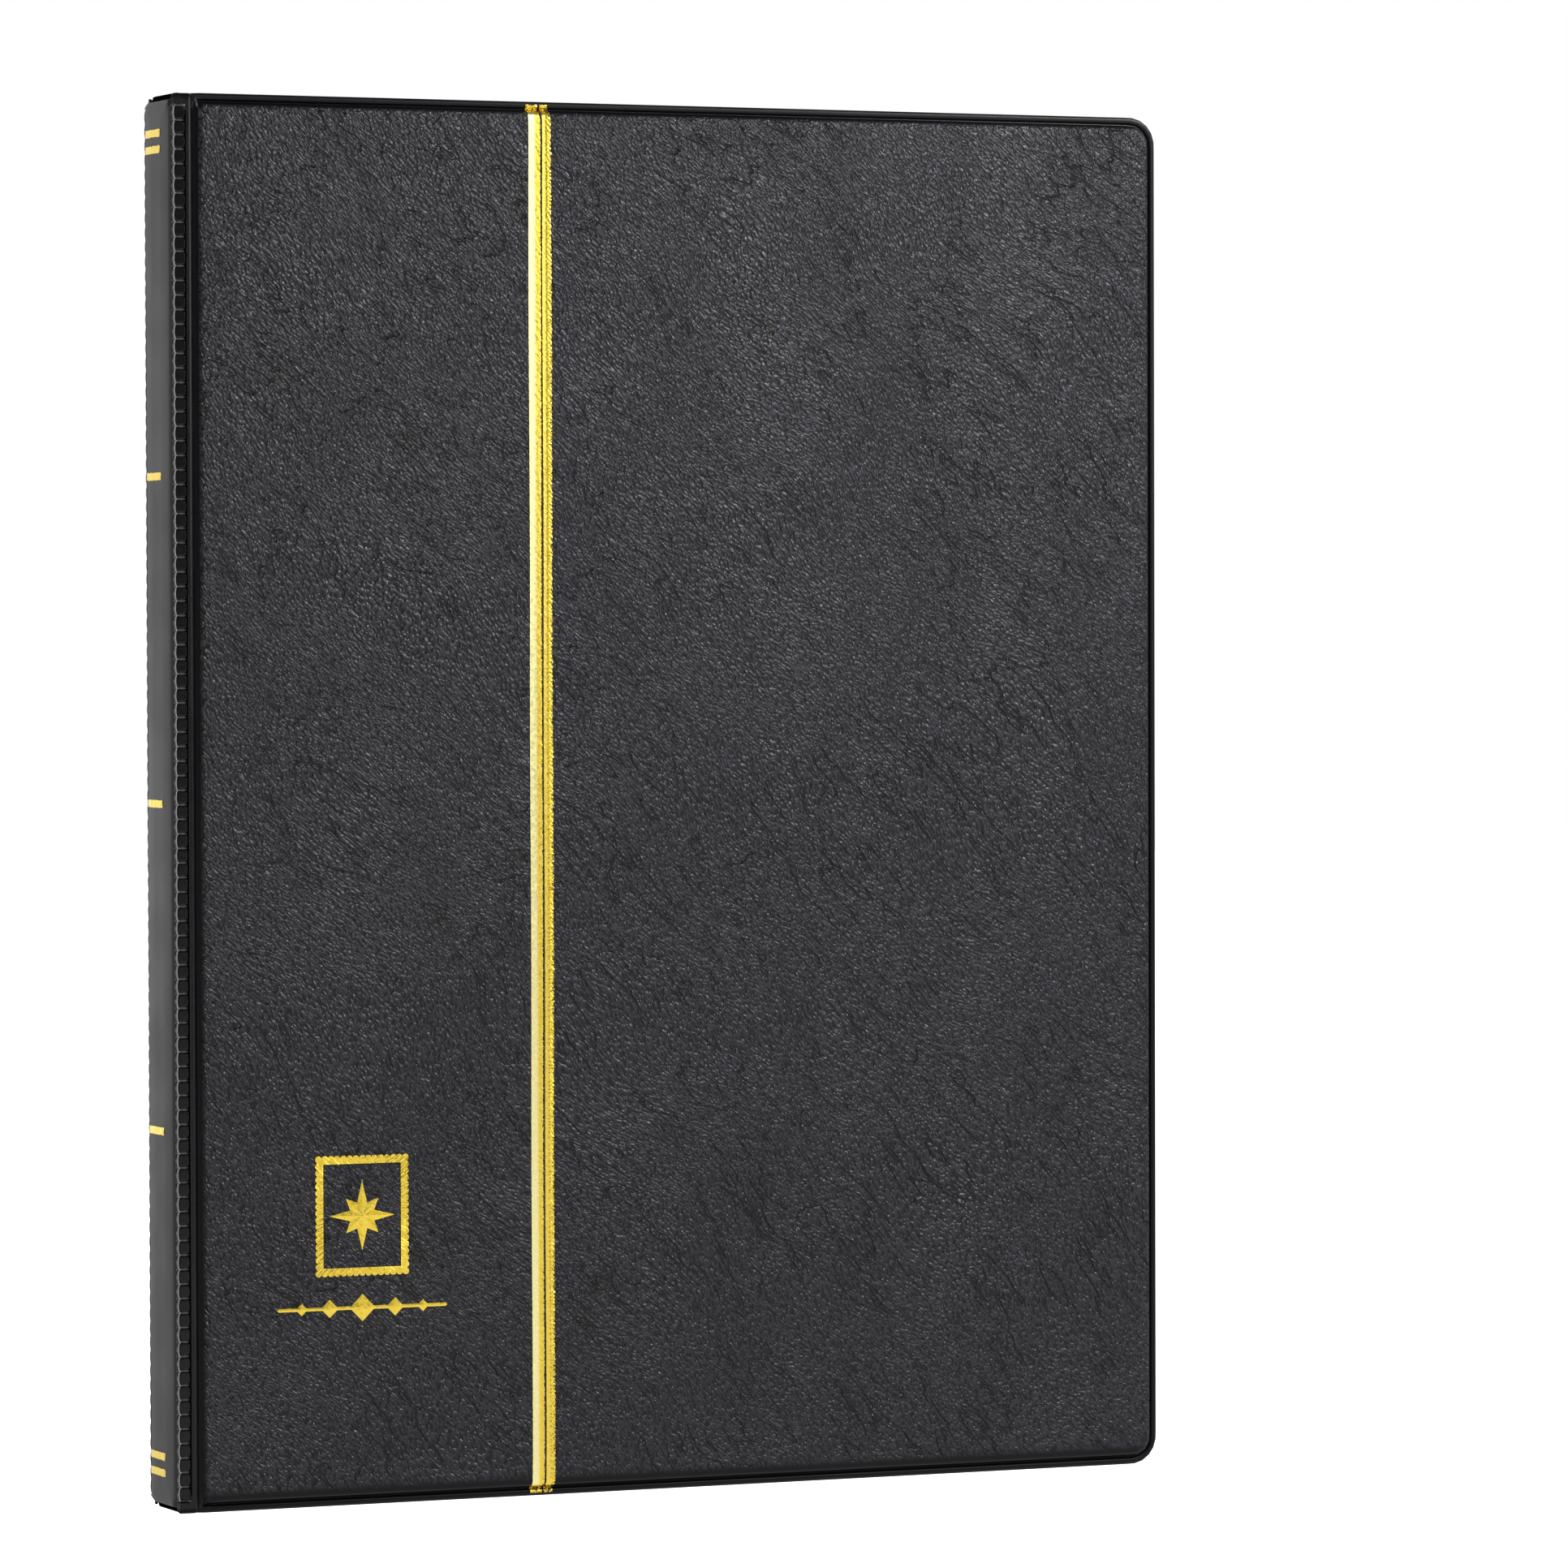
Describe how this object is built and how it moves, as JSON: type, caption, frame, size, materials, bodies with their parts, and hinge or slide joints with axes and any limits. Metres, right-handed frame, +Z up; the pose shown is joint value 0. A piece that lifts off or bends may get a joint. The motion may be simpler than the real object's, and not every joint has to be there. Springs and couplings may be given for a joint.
{
  "type": "stamp album",
  "caption": "Closed stockbook for stamps: padded leatherette covers welded to a hollow spine by beaded hinge strips, gold foil trim, black pocket leaves inside.",
  "frame": {"origin": "centre of the closed album's bounding box in plan, on the lower edge that it stands on", "axes": "+Z up the spine, front cover faces -Y, spine at -X and fore edge at +X"},
  "size_m": [0.1751, 0.0146, 0.226],
  "materials": {
    "cover_leatherette": "grained, semi-gloss",
    "spine_leatherette": "smooth satin",
    "hinge_vinyl": "gloss, embossed with a row of beads",
    "foam_pad": "soft foam",
    "grey_board": "raw binder's board",
    "lining_vinyl": "matte",
    "gold_foil": "hot-stamped foil, bright",
    "black_card": "matte black card",
    "pocket_film": "clear film",
    "binding_linen": "woven linen"
  },
  "bodies": {
    "back_cover": {"back_skin": "cover_leatherette", "back_foam_pad": "foam_pad", "back_board": "grey_board", "back_lining": "lining_vinyl", "back_endpaper": "black_card", "back_hinge_strip": "hinge_vinyl", "binding_core": "binding_linen"},
    "spine": {"spine_skin": "spine_leatherette", "spine_board": "grey_board", "spine_lining": "lining_vinyl", "spine_band_1": "gold_foil", "spine_band_2": "gold_foil", "spine_band_3": "gold_foil", "spine_band_4": "gold_foil", "spine_band_5": "gold_foil", "spine_band_6": "gold_foil", "spine_band_7": "gold_foil"},
    "front_hinge": {"front_hinge_strip": "hinge_vinyl"},
    "front_cover": {"front_skin": "cover_leatherette", "front_foam_pad": "foam_pad", "front_board": "grey_board", "front_lining": "lining_vinyl", "front_endpaper": "black_card", "front_stripe_wide": "gold_foil", "front_stripe_narrow": "gold_foil", "emblem_frame": "gold_foil", "emblem_star": "gold_foil", "emblem_rule": "gold_foil"},
    "leaf_1": {"leaf_1": "black_card", "first_page_pocket_1": "pocket_film", "first_page_pocket_2": "pocket_film", "first_page_pocket_3": "pocket_film", "first_page_pocket_4": "pocket_film", "first_page_pocket_5": "pocket_film", "first_page_pocket_6": "pocket_film"},
    "leaf_2": {"leaf_2": "black_card"},
    "leaf_3": {"leaf_3": "black_card"},
    "leaf_4": {"leaf_4": "black_card", "left_page_pocket_1": "pocket_film", "left_page_pocket_2": "pocket_film", "left_page_pocket_3": "pocket_film", "left_page_pocket_4": "pocket_film", "left_page_pocket_5": "pocket_film", "left_page_pocket_6": "pocket_film"},
    "leaf_5": {"leaf_5": "black_card", "right_page_pocket_1": "pocket_film", "right_page_pocket_2": "pocket_film", "right_page_pocket_3": "pocket_film", "right_page_pocket_4": "pocket_film", "right_page_pocket_5": "pocket_film", "right_page_pocket_6": "pocket_film"},
    "leaf_6": {"leaf_6": "black_card"},
    "leaf_7": {"leaf_7": "black_card"},
    "leaf_8": {"leaf_8": "black_card"}
  },
  "joints": [
    {"name": "spine_turn", "type": "hinge", "parent": "back_cover", "child": "spine", "pos_m": [-0.0871, 0.0062, 0], "axis": [0, 0, -1], "range_deg": [0, 90]},
    {"name": "front_strip_turn", "type": "hinge", "parent": "spine", "child": "front_hinge", "pos_m": [-0.0871, -0.0062, 0], "axis": [0, 0, -1], "range_deg": [0, 90]},
    {"name": "cover_open", "type": "hinge", "parent": "front_hinge", "child": "front_cover", "pos_m": [-0.08382, -0.00725, 0], "axis": [0, 0, -1], "range_deg": [0, 170]},
    {"name": "leaf_1_turn", "type": "hinge", "parent": "back_cover", "child": "leaf_1", "pos_m": [-0.0815, 0, 0], "axis": [0, 0, -1], "range_deg": [0, 179.1]},
    {"name": "leaf_2_turn", "type": "hinge", "parent": "back_cover", "child": "leaf_2", "pos_m": [-0.0815, 0, 0], "axis": [0, 0, -1], "range_deg": [0, 177.3]},
    {"name": "leaf_3_turn", "type": "hinge", "parent": "back_cover", "child": "leaf_3", "pos_m": [-0.0815, 0, 0], "axis": [0, 0, -1], "range_deg": [0, 175.5]},
    {"name": "leaf_4_turn", "type": "hinge", "parent": "back_cover", "child": "leaf_4", "pos_m": [-0.0815, 0, 0], "axis": [0, 0, -1], "range_deg": [0, 173.7]},
    {"name": "leaf_5_turn", "type": "hinge", "parent": "back_cover", "child": "leaf_5", "pos_m": [-0.0815, 0, 0], "axis": [0, 0, -1], "range_deg": [0, 6.3]},
    {"name": "leaf_6_turn", "type": "hinge", "parent": "back_cover", "child": "leaf_6", "pos_m": [-0.0815, 0, 0], "axis": [0, 0, -1], "range_deg": [0, 4.5]},
    {"name": "leaf_7_turn", "type": "hinge", "parent": "back_cover", "child": "leaf_7", "pos_m": [-0.0815, 0, 0], "axis": [0, 0, -1], "range_deg": [0, 2.7]},
    {"name": "leaf_8_turn", "type": "hinge", "parent": "back_cover", "child": "leaf_8", "pos_m": [-0.0815, 0, 0], "axis": [0, 0, -1], "range_deg": [0, 0.9]}
  ],
  "couplings": [
    {"joint": "front_strip_turn", "follows": "spine_turn", "ratio": 1},
    {"joint": "leaf_1_turn", "follows": "spine_turn", "ratio": 1.99},
    {"joint": "leaf_2_turn", "follows": "spine_turn", "ratio": 1.97},
    {"joint": "leaf_3_turn", "follows": "spine_turn", "ratio": 1.95},
    {"joint": "leaf_4_turn", "follows": "spine_turn", "ratio": 1.93},
    {"joint": "leaf_5_turn", "follows": "spine_turn", "ratio": 0.07},
    {"joint": "leaf_6_turn", "follows": "spine_turn", "ratio": 0.05},
    {"joint": "leaf_7_turn", "follows": "spine_turn", "ratio": 0.03},
    {"joint": "leaf_8_turn", "follows": "spine_turn", "ratio": 0.01}
  ]
}
